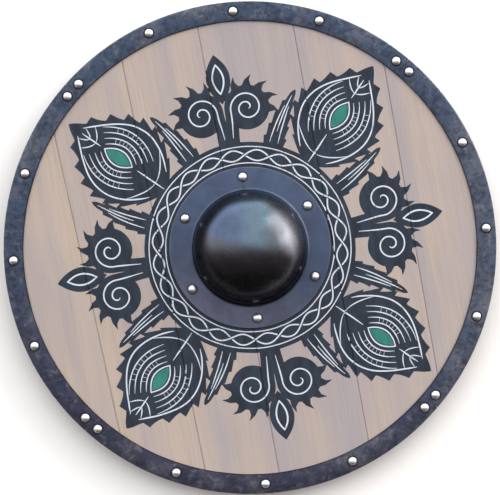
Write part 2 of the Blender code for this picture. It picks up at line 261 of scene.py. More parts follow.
def middle(name):
    """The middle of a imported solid's box."""
    low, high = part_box(name)
    return (low + high) / 2


def finish_piece(obj, nodes):
    """Puts a piece in the frame: it rides on the shield and stands for CAD nodes, which it hides."""
    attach(obj, BODY)
    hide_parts(*nodes)


def piece_from(name, bm, material):
    mesh = bpy.data.meshes.new(name)
    bm.to_mesh(mesh)
    bm.free()
    mesh.materials.append(material)
    obj = bpy.data.objects.new(name, mesh)
    bpy.context.scene.collection.objects.link(obj)
    return obj


def freeze(obj):
    """Turns an object's modifiers into plain mesh."""
    evaluated = obj.evaluated_get(bpy.context.evaluated_depsgraph_get())
    mesh = bpy.data.meshes.new_from_object(evaluated)
    obj.modifiers.clear()
    obj.data = mesh


def smooth_by_angle(obj, degrees):
    """Smooth faces that point outwards, with a sharp line along each edge steeper than the angle."""
    bm = bmesh.new()
    bm.from_mesh(obj.data)
    bmesh.ops.recalc_face_normals(bm, faces=bm.faces)
    for edge in bm.edges:
        edge.smooth = len(edge.link_faces) == 2 and edge.calc_face_angle(0.0) < math.radians(degrees)
    for face in bm.faces:
        face.smooth = True
    bm.to_mesh(obj.data)
    bm.free()


def mark(obj, **numbers):
    """Stores numbers on every point of a piece, for its material to read."""
    for name, value in numbers.items():
        attribute = obj.data.attributes.new(name, "FLOAT", "POINT")
        attribute.data.foreach_set("value", [value] * len(obj.data.vertices))


def mark_rivets(obj, group, number):
    """Marks the piece that a rivet holds with the rivet's direction, and the angle on to the next."""
    here, onward = (middle(f"{group}_{i}").xy for i in (number, number + 1))
    mark(obj, rivet_turn=math.atan2(here.y, here.x), rivet_step=here.angle(onward))


def put(tree, socket, value):
    """Links an output to a socket, or several, or sets the socket's own value."""
    for one in value if isinstance(value, list) else [value]:
        if isinstance(one, bpy.types.NodeSocket):
            tree.links.new(one, socket)
        else:
            socket.default_value = one


def add_node(tree, kind, *inputs, **named):
    """Adds a node and gives its first output. Inputs are set or linked in their order, or by name."""
    kind, setting = kind if isinstance(kind, tuple) else (kind, {})
    node = tree.nodes.new(kind)
    node.location = (200 * (len(tree.nodes) % 12), -220 * (len(tree.nodes) // 12))
    named = {**setting, **named}
    for key in [key for key in named if hasattr(node, key)]:
        setattr(node, key, named.pop(key))
    for socket, value in zip([socket for socket in node.inputs if socket.enabled], inputs):
        put(tree, socket, value)
    for key, value in named.items():
        put(tree, node.inputs[key], value)
    return next((socket for socket in node.outputs if socket.enabled), None)


# Materials
def new_material(name):
    """A material, add_node for its tree, and the object coordinates in it."""
    material = bpy.data.materials.new(name)
    material.use_nodes = True
    add = partial(add_node, material.node_tree)
    return material, add, add("ShaderNodeTexCoord").node.outputs["Object"]


def surface(material, height, depth, **sockets):
    """Gives the shader a relief this deep, and fills its other sockets. _ stands for a space."""
    tree = material.node_tree
    shader = tree.nodes["Principled BSDF"]
    if height:
        sockets["Normal"] = add_node(tree, "ShaderNodeBump", Height=height, Distance=depth, Strength=1.0)
    for name, value in sockets.items():
        put(tree, shader.inputs[name.replace("_", " ")], value)
    return material


def per_metre(*millimetres):
    """Scales that make a pattern's marks this many millimetres across."""
    scales = tuple(1000.0 / width for width in millimetres)
    return scales if len(scales) > 1 else scales[0]


def drawn_out(add, place, widths, **looks):
    """Noise whose marks are this many millimetres long in X, Y and Z."""
    return add(NOISE, add("ShaderNodeMapping", place, Scale=per_metre(*widths)), Scale=1.0, **looks)


def layered(add, colour, *layers):
    """A colour with others over it in turn, each with the share that it takes."""
    for share, layer in layers:
        colour = add(BLEND, share, colour, layer)
    return colour


def from_middle(add, place):
    """How far a point is from the shield's axis, in metres."""
    return add(LENGTH, add(VECTOR, place, (1, 1, 0), operation="MULTIPLY"))


def lower_side_share(add, place, start, end):
    """0 to 1 from the picture's upper side of the steel to its lower side."""
    return add(EASE, add(DOT, place, direction(75)), start, end)


def towards_right(add, place, start, end, most):
    """0 to most over a stretch of the steel that lies this far towards the picture's right."""
    return add(EASE, add(DOT, place, direction(0)), start, end, 0.0, most)


def rivet_shadow_share(add, place, group, head):
    """Painted shadow: 1 close round each rivet's head, down to 0 past it."""
    ring = middle(f"{group}_1").xy.length
    turn = add(ATTRIBUTE, attribute_name="rivet_turn").node.outputs["Fac"]
    step = add(ATTRIBUTE, attribute_name="rivet_step").node.outputs["Fac"]
    parts = add("ShaderNodeSeparateXYZ", place).node.outputs
    angle = add(MINUS, add(MATH, parts["Y"], parts["X"], operation="ARCTAN2"), turn)
    angle = add(MATH, angle, math.pi, -math.pi, operation="WRAP")
    share = add(MATH, add(MATH, angle, step, operation="DIVIDE"), 0.5, operation="PINGPONG")
    along = add(TIMES, add(TIMES, share, step), ring)
    outward = add(MINUS, from_middle(add, place), ring)
    return add(EASE, add(LENGTH, add(JOINED, along, outward)), head + 0.0022, head + 0.0004)


def own_place(add, place):
    """Object coordinates, moved for each board or bar so that no two share their grain."""
    number = add(ATTRIBUTE, attribute_name="board").node.outputs["Fac"]
    return add(MOVED, place, add(SCALED, (0.31, 0.73, 0.17), Scale=number))


def limewashed_boards(colours):
    """Planed softwood under limewash: pale and matt, its grain in faint grey streaks along the board.
    Flat wall paint lies over it, thin enough that the grain shows through."""
    material, add, place = new_material("limewashed softwood with flat paint")
    own = own_place(add, place)
    warmth = add(ATTRIBUTE, attribute_name="warmth").node.outputs["Fac"]
    paint = add(ATTRIBUTE, attribute_name="paint").node.outputs["Fac"]

    # Grain: streaks and fibres lie along Y, and growth lines run between them
    streaks = drawn_out(add, own, (3.2, 130, 3.2), Detail=4.0, Roughness=0.62, Distortion=0.35)
    fibres = drawn_out(add, own, (1.2, 46, 1.2), Detail=2.0, Roughness=0.6)
    growth = drawn_out(add, own, (17, 520, 17), Detail=1.0, Roughness=0.4, Distortion=0.6)
    growth = add(MATH, add(TIMES, growth, 62.0), operation="SINE")
    grain = add(EASE, streaks, 0.44, 0.70, 0.0, 0.18)
    grain = add(PLUS, grain, add(EASE, fibres, 0.46, 0.74, 0.0, 0.13))
    grain = add(PLUS, grain, add(EASE, growth, 0.55, 1.0, 0.0, 0.05))

    # Limewash: thicker and thinner in soft clouds, and in bands along the board
    clouds = drawn_out(add, own, (55, 240, 55), Detail=2.0, Roughness=0.5)
    bands = drawn_out(add, own, (18, 600, 18), Detail=1.0, Roughness=0.4)
    warm = add(PLUS, warmth, add(RANGE, clouds, 0.3, 0.7, -0.7, 0.7))
    warm = add(PLUS, warm, add(RANGE, bands, 0.35, 0.65, -0.24, 0.24))
    warm = add(EASE, warm, -1.0, 1.0)
    warm = (warm, colours.limewash_warm)
    colour = layered(add, colours.limewash_cool, warm, (grain, colours.limewash_grain))
    bare = add(BLEND, add(TIMES, grain, 1.8, use_clamp=True), colours.bare_wood, colours.bare_grain)

    # Paints: brush marks in them, and the chalk lines rubbed thin here and there
    marks = drawn_out(add, own, (11, 34, 11), Detail=3.0, Roughness=0.6)
    thick = add(EASE, marks, 0.32, 0.68)
    showing = (add(TIMES, grain, 0.14), colours.limewash_grain)
    slate = layered(add, colours.slate_paint, (thick, colours.slate_thick), showing)
    green = add(BLEND, thick, colours.green_paint, colours.green_thick)
    rubbed = add(TIMES, add(EASE, streaks, 0.54, 0.70), add(EASE, clouds, 0.46, 0.62, 0.0, 0.6))
    chalk = add(BLEND, rubbed, colours.chalk_paint, colours.slate_paint)
    for number, layer in ((SLATE, slate), (CHALK, chalk), (GREEN, green), (BARE, bare)):
        here = add(MATH, paint, float(number), 0.3, operation="COMPARE")
        colour = add(BLEND, here, colour, layer)

    painted = add(MATH, paint, float(CHALK), 1.3, operation="COMPARE")
    rough = add(PLUS, add(RANGE, painted, 0.0, 1.0, 0.80, 0.58), add(TIMES, grain, 0.2))
    sockets = {"Base_Color": colour, "Roughness": rough, "Specular_IOR_Level": 0.2}
    return surface(material, add(TIMES, add(PLUS, streaks, fibres), -1.0), 0.00018, **sockets)


def blackened_rim(colours, sizes):
    """Mild steel strip blackened in the forge and oiled: blue-black and mottled, greyer where hands and
    cloth rub it, paler towards the picture's right with painted sheen, darker and less blue towards the
    picture's lower side, and dark with painted shadow along its inner edge and round its rivets."""
    material, add, place = new_material("forge-blackened mild steel strip")
    radius = from_middle(add, place)
    blotches = add(NOISE, place, Scale=per_metre(48), Detail=4.0, Roughness=0.58)
    scale_marks = add(NOISE, place, Scale=per_metre(6), Detail=4.0, Roughness=0.6)
    dabs = add(NOISE, place, Scale=per_metre(11), Detail=3.0, Roughness=0.6, Distortion=0.5)
    specks = add(NOISE, place, Scale=per_metre(1.6), Detail=2.0, Roughness=0.6)
    browned = lower_side_share(add, place, 0.0, -OUTER_RADIUS)
    rubbed = add(EASE, radius, OUTER_RADIUS - 0.0018, OUTER_RADIUS - 0.0004, 0.0, 0.3)
    rubbed = add(PLUS, rubbed, add(EASE, dabs, 0.50, 0.72, 0.0, 0.45))
    rubbed = add(PLUS, rubbed, add(EASE, blotches, 0.48, 0.72, 0.0, 0.42))
    # Painted sheen: the rim is paler towards the picture's right
    rubbed = add(PLUS, rubbed, towards_right(add, place, 0.21, 0.29, 0.16))
    inside = OUTER_RADIUS - sizes.rim_width
    # Painted shadow along the rim's inner edge and round its rivets
    rim_edge_shadow = add(EASE, radius, inside + 0.0024, inside + 0.0004, 0.0, 0.75)
    rivet_shadows = rivet_shadow_share(add, place, "rim_rivet", sizes.rivet_head)
    rim_edge_shadow = add(MATH, rim_edge_shadow, rivet_shadows, operation="MAXIMUM")
    colour = layered(
        add,
        colours.rim_black,
        (browned, colours.rim_lower_side),
        (rubbed, colours.worn_steel_and_sheen),
        (add(EASE, scale_marks, 0.44, 0.66, 0.0, 0.6), colours.soot),
        (add(EASE, specks, 0.58, 0.74, 0.0, 0.25), colours.pits),
        (rim_edge_shadow, colours.pits),
    )
    rough = add(RANGE, blotches, 0.3, 0.7, 0.52, 0.42)
    relief = add(PLUS, scale_marks, add(TIMES, specks, 0.3))
    return surface(material, relief, 0.00022, Base_Color=colour, Roughness=rough, Metallic=1.0)


def forging_line(add, place, start, end):
    """A fine dark line on the flange, from the dome's root towards the rivet nearest the picture's top."""
    across = add(DOT, place, tuple(polar(1.0, FORGING_LINE_DEGREES - 90)))
    along = add(DOT, place, tuple(polar(1.0, FORGING_LINE_DEGREES)))
    line = add(MATH, across, 0.0, 0.00045, operation="COMPARE")
    reach = add(MATH, along, (start + end) / 2, (end - start) / 2, operation="COMPARE")
    return add(TIMES, add(TIMES, line, reach), 0.7)


def blackened_boss(colours, sizes):
    """Raised steel, blackened and oiled: a satin flange, and a dome burnished until it mirrors the room
    softly. Painted reflection turns its blue green and then grey towards the picture's right, broken up by
    patches, with a brighter painted highlight at the far right, and makes its lower half brown-black. A
    painted shade ring darkens it where it stands steep, painted shadow lies round its rivets, the flange is
    lighter towards the picture's lower side, and a fine line from the forging runs over the flange."""
    material, add, place = new_material("blackened and oiled raised steel")
    radius = from_middle(add, place)
    root = sizes.dome_radius
    flange = add(EASE, radius, root - 0.001, root + 0.003)
    domed = add(MINUS, 1.0, flange)
    blotches = add(NOISE, place, Scale=per_metre(34), Detail=4.0, Roughness=0.6)
    marks = add(NOISE, place, Scale=per_metre(4), Detail=4.0, Roughness=0.65)
    specks = add(NOISE, place, Scale=per_metre(1.3), Detail=2.0, Roughness=0.6)

    # The painted shade ring is off the dome's middle, so that it is narrower towards the picture's upper
    # right
    shade_ring_middle = tuple(polar(-0.0105, 45 - PICTURE_TURN_DEGREES))
    steep = from_middle(add, add(MOVED, place, shade_ring_middle))
    steep = add(EASE, steep, root - 0.019, root - 0.004, 0.0, 0.94)
    patches = add(NOISE, place, Scale=per_metre(30), Detail=2.0, Roughness=0.45, Distortion=0.4)
    shifted = add(MOVED, place, add(SCALED, (0.024, 0.0, 0.0), Scale=add(MINUS, patches, 0.5)))
    edge = add(EASE, radius, FLANGE_RADIUS - 0.0016, FLANGE_RADIUS - 0.0003, 0.0, 0.4)
    rivet_shadows = rivet_shadow_share(add, place, "boss_rivet", sizes.rivet_head)
    colour = layered(
        add,
        colours.boss_black,
        (lower_side_share(add, place, 0.0, -FLANGE_RADIUS), colours.flange_lower_side),
        # Painted reflection and highlight: green, then grey, then bright towards the picture's right
        (add(TIMES, domed, towards_right(add, shifted, -0.030, 0.010, 0.75)), colours.dome_reflection_green),
        (add(TIMES, domed, towards_right(add, shifted, 0.014, 0.030, 0.9)), colours.dome_reflection_grey),
        (add(TIMES, domed, towards_right(add, shifted, 0.036, 0.052, 0.7)), colours.worn_steel_and_sheen),
        # Painted dark reflection on the dome's lower half
        (add(TIMES, domed, lower_side_share(add, place, 0.008, -0.006)), colours.dome_dark_reflection),
        (add(EASE, blotches, 0.36, 0.66, 0.0, 0.30), colours.soot),
        # Painted shade ring where the dome stands steep
        (add(TIMES, steep, domed), colours.pits),
        (edge, colours.worn_steel_and_sheen),
        (add(EASE, specks, 0.60, 0.75, 0.0, 0.22), colours.pits),
        (forging_line(add, place, root + 0.002, 0.082), colours.pits),
        # Painted shadow round the boss's rivets
        (add(TIMES, rivet_shadows, 0.7), colours.pits),
    )
    rough = add(PLUS, add(RANGE, flange, 0.0, 1.0, 0.22, 0.44), add(RANGE, marks, 0.3, 0.7, 0.0, 0.08))
    relief = add(PLUS, marks, add(TIMES, specks, 0.2))
    return surface(material, relief, 0.00008, Base_Color=colour, Roughness=rough, Metallic=1.0)


def polished_rivets(colours):
    """Steel rivets, polished by the set that rounded them: bright, with fine scuffs."""
    material, add, place = new_material("polished steel rivets")
    scuffs = add(NOISE, place, Scale=per_metre(1.8), Detail=3.0, Roughness=0.6)
    worn = add(EASE, scuffs, 0.52, 0.72, 0.0, 0.4)
    colour = add(BLEND, worn, colours.bright_steel, colours.worn_steel_and_sheen)
    rough = add(RANGE, scuffs, 0.3, 0.7, 0.32, 0.48)
    return surface(material, scuffs, 0.00006, Base_Color=colour, Roughness=rough, Metallic=1.0)


def oiled_timber(colours):
    """Planed ash rubbed with oil: warm tan, open brown grain along the bar, a low sheen."""
    material, add, place = new_material("oiled ash")
    own = own_place(add, place)
    pores = drawn_out(add, own, (14, 0.7, 0.7), Detail=2.0, Roughness=0.55)
    streaks = drawn_out(add, own, (120, 3.4, 3.4), Detail=4.0, Roughness=0.6, Distortion=0.3)
    growth = drawn_out(add, own, (420, 16, 16), Detail=1.0, Roughness=0.4, Distortion=0.5)
    growth = add(MATH, add(TIMES, growth, 58.0), operation="SINE")
    grain = add(EASE, streaks, 0.42, 0.72, 0.0, 0.45)
    grain = add(PLUS, grain, add(EASE, growth, 0.3, 1.0, 0.0, 0.32))
    grain = add(PLUS, grain, add(EASE, pores, 0.56, 0.70, 0.0, 0.5), use_clamp=True)
    colour = add(BLEND, grain, colours.oiled_ash, colours.ash_grain)
    rough = add(RANGE, grain, 0.0, 1.0, 0.42, 0.60)
    relief = add(TIMES, add(PLUS, pores, streaks), -1.0)
    return surface(material, relief, 0.0002, Base_Color=colour, Roughness=rough)


def plain_screw_steel(colours):
    """Turned steel screws left plain: dull grey, with brown stains."""
    material, add, place = new_material("plain turned steel")
    stains = add(NOISE, place, Scale=per_metre(2.4), Detail=4.0, Roughness=0.65)
    stained = add(EASE, stains, 0.5, 0.75, 0.0, 0.7)
    colour = add(BLEND, stained, colours.screw_steel, colours.rust)
    rough = add(RANGE, stains, 0.3, 0.7, 0.34, 0.6)
    return surface(material, None, 0.0, Base_Color=colour, Roughness=rough, Metallic=1.0)


def studio_paper(colours):
    """Seamless studio paper: matt and almost white, with the faintest tooth."""
    material, add, place = new_material("matt studio paper")
    tooth = add(NOISE, place, Scale=per_metre(2.5), Detail=2.0)
    sockets = {"Base_Color": colours.floor, "Roughness": 0.9, "Specular_IOR_Level": 0.1}
    return surface(material, tooth, 0.00002, **sockets)


# The painted design, as flat shapes: each is (layer, paint, outline)
def stroke(points, width, taper=None):
    """The outline of a brush stroke. It thins to a third over the taper's share of its length."""
    last = len(points) - 1
    left, right = [], []
    for i, (x, y) in enumerate(points):
        ax, ay = points[max(i - 1, 0)]
        bx, by = points[min(i + 1, last)]
        length = math.hypot(bx - ax, by - ay)
        wide = width * (0.35 + 0.65 * min(min(i, last - i) / last / taper, 1.0)) if taper else width
        across = (-(by - ay) / length * wide / 2, (bx - ax) / length * wide / 2)
        left.append((x + across[0], y + across[1]))
        right.append((x - across[0], y - across[1]))
    return left + right[::-1]


def lens(centre, half_length, half_width, steps=16):
    """A pointed oval along the u axis."""
    shares = [2 * i / steps - 1 for i in range(steps + 1)]
    upper = [(centre + half_length * share, half_width * (1 - share * share)) for share in shares]
    return upper + [(u, -v) for u, v in reversed(upper[1:-1])]


def toothed_outline(length, half_width_at, tooth, teeth):
    """A saw-toothed edge, from a leaf's root round its tip. half_width_at gives the plain leaf."""
    steps_a_tooth = 6
    steps = teeth * steps_a_tooth
    side = []
    for i in range(steps + 1):
        share = 0.02 + 0.98 * i / steps
        saw = (i % steps_a_tooth) / steps_a_tooth
        fade = min(1.0, (1 - share) / 0.12) * min(1.0, share / 0.15)
        hooked = share + 0.030 * saw * saw * fade
        side.append((length * hooked, half_width_at(share) + tooth * saw**1.5 * fade))
    return side + [(u, -v) for u, v in reversed(side[:-1])]


def leaf_half_width(design, share):
    if share <= 0.0 or share >= 1.0:
        return 0.0
    return design.leaf_half_width * math.sin(math.pi * share**0.84) ** (0.72 + 0.58 * share)


def leaf_shapes(design):
    """A toothed leaf with a green heart, its line work in chalk. u runs from root to tip."""
    length, line = design.leaf_length, design.line
    inset = 0.0066
    heart, heart_length, heart_width = 0.49 * length, 0.0180, 0.0078
    half_width = partial(leaf_half_width, design)
    shapes = [(1.0, SLATE, toothed_outline(length, half_width, design.leaf_tooth, 8))]
    for layer, paint, longer, wider in (
        (1.2, CHALK, 1.18, 1.34),
        (1.3, SLATE, 1.06, 1.12),
        (1.4, GREEN, 0.97, 0.95),
    ):
        shapes.append((layer, paint, lens(heart, heart_length * longer, heart_width * wider)))
    for start, reach in ((0.02, 0.28), (0.67, 0.19)):
        rib = [(length * (start + reach * i / 8), 0.0) for i in range(9)]
        shapes.append((1.1, CHALK, stroke(rib, line, 0.3)))
    for side in (1, -1):
        shares = [0.09 + 0.79 * i / 48 for i in range(49)]
        edge = [(length * share, side * max(half_width(share) - inset, 0.0)) for share in shares]
        shapes.append((1.1, CHALK, stroke(edge, line, 0.06)))
        for start, end in ((0.11, 0.24), (0.72, 0.80), (0.78, 0.86)):
            reach = max(half_width(end) - inset - 0.0012, 0.0)
            vein = []
            for share in (i / 10 for i in range(11)):
                vein.append((length * (start + (end - start) * share**1.5), side * reach * share**0.85))
            shapes.append((1.1, CHALK, stroke(vein, line * 0.8, 0.35)))
        shapes += heart_arcs(design, side, heart, heart_length * 1.12, heart_width * 1.34)
    return shapes


def heart_arcs(design, side, centre, half_length, half_width):
    """Four lines that echo the heart on one side, tied in pairs by short bars."""

    def echo(number, share):
        reach = half_length * (1.22 + 0.27 * number)
        bow = half_width * (1 - share * share) + (0.0048 + 0.0066 * number) * (1 - 0.25 * share * share)
        return (centre + reach * share, side * bow)

    shapes = []
    for number in range(4):
        arc = [echo(number, -0.92 + 1.84 * i / 28) for i in range(29)]
        shapes.append((1.1, CHALK, stroke(arc, design.line * 0.8, 0.2)))
    for number in (0, 2):
        for share in (-0.51 + 0.17 * i for i in range(7)):
            bar = [echo(number, share), echo(number + 1, share)]
            shapes.append((1.1, CHALK, stroke(bar, design.line * 0.65, 0.5)))
    return shapes


def flame_shapes(design, side):
    """A toothed flame beside a leaf's root, with three chalk lines. It leans a little to its side."""
    length = design.flame_length
    lean = side * 0.012

    def half_width_at(share):
        return design.flame_half_width * math.cos(math.pi / 2 * min(share, 0.9999)) ** 0.8

    outline = toothed_outline(length, half_width_at, 0.0034, 5)
    shapes = [(0.8, SLATE, [(u, v + lean * (u / length) ** 2) for u, v in outline])]
    for share_out, start, end in ((0.42, 0.12, 0.72), (-0.42, 0.12, 0.72), (0.0, 0.30, 0.90)):
        line = []
        for share in (start + (end - start) * i / 12 for i in range(13)):
            line.append((length * share, half_width_at(share) * share_out + lean * share * share))
        shapes.append((0.9, CHALK, stroke(line, design.line * 0.8, 0.3)))
    return shapes


def scroll_shapes(design):
    """A pair of scrolls on one stem with a bud between them. Each is a dark disc with a chalk spiral."""
    radius = design.scroll_radius
    eye, stem_length, stem_side = 0.0022, 0.046, 0.0085
    disc = stem_side + radius + eye
    bud = 0.086
    shapes = []
    for side in (1, -1):
        line = []
        for share in (i / 17 for i in range(17)):
            line.append((stem_length * share, side * (0.005 + (stem_side - 0.005) * ease(share))))
        for share in (i / 72 for i in range(73)):
            angle = -math.pi / 2 + 1.6 * math.tau * share
            reach = radius * (1 - share) ** 0.85 + eye
            line.append((stem_length + reach * math.cos(angle), side * (disc + reach * math.sin(angle))))
        ring = circle(radius + eye + design.stem / 2, 10)
        shapes.append((1.0, SLATE, [(stem_length + u, side * (disc + v)) for u, v in ring]))
        shapes.append((1.0, SLATE, stroke(line[:30], design.stem)))
        shapes.append((1.1, CHALK, stroke(line[4:], design.line, 0.1)))
        shapes += scroll_leaflets(stem_length, disc, radius + 0.004, side)
    shapes.append((1.2, SLATE, lens(bud, 0.031, 0.0150)))
    shapes.append((1.3, CHALK, lens(bud, 0.0196, 0.0077)))
    shapes.append((1.4, SLATE, lens(bud, 0.0165, 0.0056)))
    return shapes


def scroll_leaflets(u, v, radius, side):
    """Small hooked leaflets round the outside of a scroll."""
    hook = ((0.005, 0), (0.012, 9), (0.0195, 21), (0.0120, 19), (0.005, 25), (0.0025, 12))
    shapes = []
    for start in range(-66, 120, 31):
        points = [polar(radius + reach, start + degrees) for reach, degrees in hook]
        shapes.append((0.9, SLATE, [(u + point.x, side * (v + point.y)) for point in points]))
    return shapes


def plait_shapes(design):
    """A dark ring round the boss, with a plait of two chalk lines between two circles."""
    line = design.line
    shapes = [(0.95, SLATE, circle(design.ring_radius, 3))]
    for radius in (design.plait_radius - 0.0100, design.plait_radius + 0.0105):
        for quarter in range(4):
            arc = [polar(radius, 90 * quarter + 3 * i)[:2] for i in range(31)]
            shapes.append((1.0, CHALK, stroke(arc, line * 0.7)))
    half_wave = 180 / design.plait_waves
    steps = 12
    for strand in (0, 1):
        for number in range(2 * design.plait_waves):
            arc = []
            for degrees in (half_wave * (number + i / steps) for i in range(steps + 1)):
                swing = math.cos(math.radians(design.plait_waves * degrees) + math.pi * strand)
                arc.append(polar(design.plait_radius + design.plait_swing * swing, degrees)[:2])
            over = (number + strand) % 2 == 0
            if over:
                shapes.append((2.0, SLATE, stroke(arc, line * 2.4)))
            shapes.append((2.1 if over else 1.1, CHALK, stroke(arc, line)))
    return shapes


def turned_shapes(shapes, root, degrees):
    """Shapes whose u axis points this way from the middle, starting at root."""
    turn = Matrix.Rotation(math.radians(degrees), 2)
    found = []
    for layer, paint, outline in shapes:
        found.append((layer, paint, [tuple(turn @ Vector((root + u, v))) for u, v in outline]))
    return found


def by_hand(x, y, waver):
    """Moves a point a little, smoothly over the design, as a painter's hand would."""
    place = Vector((x, y, 0.0))
    wander = noise.noise_vector(place * 22) + noise.noise_vector(place * 70) * 0.5
    return (x + wander.x * waver, y + wander.y * waver)


def painted_shapes(design):
    """All the design's shapes. The seed is set first, so that the painter's hand wanders alike each run."""
    noise.seed_set(PAINTER_SEED)
    shapes = plait_shapes(design)
    root = design.ring_radius - 0.0055
    step = 360 / design.repeats
    for number in range(design.repeats):
        shapes += turned_shapes(leaf_shapes(design), root, step * (number + 0.5))
        shapes += turned_shapes(scroll_shapes(design), root, step * number)
        for side in (1, -1):
            flames = flame_shapes(design, side)
            shapes += turned_shapes(flames, root - 0.002, step * (number + side * 0.26))
    found = []
    for layer, paint, outline in shapes:
        found.append((layer, paint, [by_hand(x, y, design.hand_waver) for x, y in outline]))
    return found


# Boards
def seam_lines(number, sizes, inset):
    """The seams beside a board, each as (across, distance, side), moved into the board by inset."""
    found = []
    for seam, side in ((number - 1, -1), (number, 1)):
        if 0 <= seam < len(SEAM_SHARES):
            across = polar(1.0, SEAM_LEAN_DEGREES[seam])
            distance = SEAM_SHARES[seam] * sizes.board_radius - side * (sizes.seam_gap / 2 + inset)
            found.append((across, distance, side))
    return found


def strip_outline(number, sizes):
    """A long strip between a board's two seams, past the shield at an end board."""
    far = 2 * sizes.board_radius
    seams = seam_lines(number, sizes, sizes.board_edge)
    lines = {side: (across, distance) for across, distance, side in seams}
    corners = []
    for side, ends in ((-1, (1, -1)), (1, (-1, 1))):
        across, distance = lines.get(side, (Vector((1, 0, 0)), side * far))
        along = Vector((-across.y, across.x, 0))
        corners += [(across * distance + along * far * end).xy for end in ends]
    return corners


def cut_face(outlines):
    """Splits the plane along all outlines. Gives points, triangles, and the outlines each is inside."""
    points, faces = [], []
    for outline in outlines:
        area = sum(a[0] * b[1] - b[0] * a[1] for a, b in zip(outline, outline[1:] + outline[:1]))
        faces.append(list(range(len(points), len(points) + len(outline))))
        points += [Vector(point) for point in (outline if area > 0 else outline[::-1])]
    points, _, triangles, _, _, inside = delaunay_2d_cdt(points, [], faces, 1, 1e-7)
    return points, triangles, [set(found) for found in inside]


def near_board(outline, number, sizes):
    for across, distance, side in seam_lines(number, sizes, 0.0):
        if all(side * (Vector((x, y, 0)).dot(across) - distance) > 0 for x, y in outline):
            return False
    return True


def moved_edge(place, number, sizes, inset, outward):
    """Where a point on a board's edge, inset from the full edge, goes when the edge moves outward."""
    moved = Vector((place.x, place.y, 0))
    close = sizes.board_edge / 4
    for across, distance, side in seam_lines(number, sizes, inset):
        if abs(moved.dot(across) - distance) < close:
            moved += across * side * outward
    radius = place.xy.length
    if abs(radius - (sizes.board_radius - inset)) < close:
        moved *= 1 + outward / radius
    elif abs(radius - (sizes.hand_hole + inset)) < close:
        moved *= 1 - outward / radius
    return moved.xy


def put_in_order(sequence, places):
    """Sorts a mesh's points or faces along one direction. Two that lie equally far go by coordinates."""
    order = Vector((1.0, 0.618, 0.271))
    ranked = sorted(places, key=lambda item: (places[item].dot(order), *places[item]))
    ranks = {item: rank for rank, item in enumerate(ranked)}
    sequence.sort(key=ranks.get)


def make_board(number, shapes, material, sizes):
    """One board. Its front is cut along the painted outlines, so the paint lies in the wood's own face."""
    edge = sizes.board_edge
    near = [shape for shape in shapes if near_board(shape[2], number, sizes)]
    whole = [circle(sizes.board_radius - edge, 2), circle(sizes.hand_hole + edge, 5)]
    outlines = [*whole, strip_outline(number, sizes), *(outline for layer, paint, outline in near)]
    points, triangles, inside = cut_face(outlines)

    bm = bmesh.new()
    paint_layer = bm.faces.layers.float.new("paint")
    verts = [bm.verts.new((point.x, point.y, BOARD_FRONT)) for point in points]
    for triangle, found in zip(triangles, inside):
        if 0 in found and 2 in found and 1 not in found:
            face = bm.faces.new([verts[i] for i in triangle])
            over = [near[i - 3][:2] for i in found if i > 2]
            face[paint_layer] = max(over)[1] if over else LIMEWASH
    bmesh.ops.delete(bm, geom=[vert for vert in verts if not vert.link_faces], context="VERTS")

    # Round the front chamfer, down the wall where some paint ran in, and in under the back chamfer
    levels = (
        (BOARD_FRONT - edge, edge, edge, True),
        (BOARD_FRONT - 4 * edge, 0.0, 0.0, True),
        (BOARD_BACK + edge, 0.0, 0.0, False),
        (BOARD_BACK, 0.0, -edge, False),
    )
    open_edges = [side for side in bm.edges if side.is_boundary]
    for z, inset, outward, painted in levels:
        grown = bmesh.ops.extrude_edge_only(bm, edges=open_edges)["geom"]
        fresh = {item for item in grown if isinstance(item, bmesh.types.BMFace)}
        for vert in (item for item in grown if isinstance(item, bmesh.types.BMVert)):
            vert.co.xy = moved_edge(vert.co, number, sizes, inset, outward)
            vert.co.z = z
        for face in fresh:
            older = [old for side in face.edges for old in side.link_faces if old not in fresh]
            face[paint_layer] = older[0][paint_layer] if painted else BARE
        open_edges = [item for item in grown if isinstance(item, bmesh.types.BMEdge) and item.is_boundary]
    for face in bmesh.ops.holes_fill(bm, edges=open_edges)["faces"]:
        face[paint_layer] = BARE
    bmesh.ops.recalc_face_normals(bm, faces=bm.faces)
    # Extruding leaves them in another order each run
    put_in_order(bm.verts, {vert: vert.co for vert in bm.verts})
    put_in_order(bm.faces, {face: face.calc_center_median() for face in bm.faces})

    board = piece_from(f"dressed_board_{number + 1}", bm, material)
    mark(board, board=float(number), warmth=BOARD_WARMTH[number])
    return board


# Rim and boss
def rounded_corner(before, corner, after, radius, steps=4):
    """A rounded corner of a profile, from the side before it to the side after it."""
    here = Vector(corner)
    back = (Vector(before) - here).normalized()
    onward = (Vector(after) - here).normalized()
    shares = [i / steps for i in range(steps + 1)]
    return [here + back * radius * (1 - share) ** 2 + onward * radius * share**2 for share in shares]


def rim_profile(sizes):
    """The folded strip's section, as (distance from the rim's outside, height)."""
    steel, fold, cut = sizes.rim_steel, sizes.rim_fold, sizes.cut_edge
    front, back = -sizes.rim_width, -sizes.rim_back_width
    outside = [(back, RIM_BACK + steel), (back, RIM_BACK), (0, RIM_BACK), (0, RIM_FRONT)]
    outside += [(front, RIM_FRONT), (front, RIM_FRONT - steel)]
    points = [outside[0]]
    for i, radius in zip(range(1, 5), (cut, fold, fold, cut)):
        points += rounded_corner(outside[i - 1], outside[i], outside[i + 1], radius)
    return points + [outside[-1], (-steel, RIM_FRONT - steel), (-steel, RIM_BACK + steel)]


